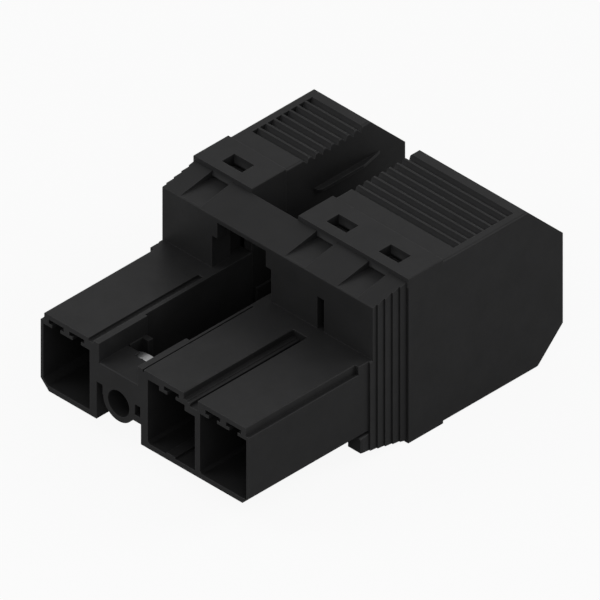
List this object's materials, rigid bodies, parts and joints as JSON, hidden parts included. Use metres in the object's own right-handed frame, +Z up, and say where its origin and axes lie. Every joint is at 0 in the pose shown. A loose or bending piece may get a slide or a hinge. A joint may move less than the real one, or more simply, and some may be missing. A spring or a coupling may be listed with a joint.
{
  "type": "pcb plug connector",
  "caption": "Black pluggable power connector with spring clamps: long mating pods, a screw flange between them, a flared collar and ribbed terminal blocks with wire entries.",
  "frame": {"origin": "under the middle of the outside box, on the plane the terminal blocks rest on", "axes": "+X along the row of places, +Y from the mating face to the wire entries, +Z up"},
  "size_m": [0.042, 0.0604, 0.0277],
  "materials": {
    "housing": "moulded, fine satin grain",
    "pusher": "moulded, fine satin grain",
    "plated_steel": "bright zinc plated",
    "dark_steel": "black oxide",
    "spring_steel": "rolled stainless strip",
    "tinned_copper": "tin plated"
  },
  "bodies": {
    "plug": {"front_housing": "housing", "terminal_housing": "housing", "retaining_plate": "plated_steel", "current_bar_1": "tinned_copper", "socket_contact_1": "tinned_copper", "over_spring_1": "spring_steel", "clamp_frame_1": "plated_steel", "clamp_spring_1": "spring_steel", "current_bar_2": "tinned_copper", "socket_contact_2": "tinned_copper", "over_spring_2": "spring_steel", "clamp_frame_2": "plated_steel", "clamp_spring_2": "spring_steel", "current_bar_3": "tinned_copper", "socket_contact_3": "tinned_copper", "over_spring_3": "spring_steel", "clamp_frame_3": "plated_steel", "clamp_spring_3": "spring_steel"},
    "screw": {"flange_screw": "dark_steel"},
    "pusher_1": {"release_pusher_1": "pusher"},
    "pusher_2": {"release_pusher_2": "pusher"},
    "pusher_3": {"release_pusher_3": "pusher"}
  },
  "joints": [
    {"name": "screw_spin", "type": "hinge", "parent": "plug", "child": "screw", "pos_m": [-0.00508, -0.0245, 0.00897], "axis": [0, 1, 0], "continuous": true},
    {"name": "pusher_1_press", "type": "slide", "parent": "plug", "child": "pusher_1", "axis": [0, -1, 0], "range_m": [0, 0.002], "stiffness_N_per_m": 400, "springref_m": -0.0005},
    {"name": "pusher_2_press", "type": "slide", "parent": "plug", "child": "pusher_2", "axis": [0, -1, 0], "range_m": [0, 0.002], "stiffness_N_per_m": 400, "springref_m": -0.0005},
    {"name": "pusher_3_press", "type": "slide", "parent": "plug", "child": "pusher_3", "axis": [0, -1, 0], "range_m": [0, 0.002], "stiffness_N_per_m": 400, "springref_m": -0.0005}
  ]
}
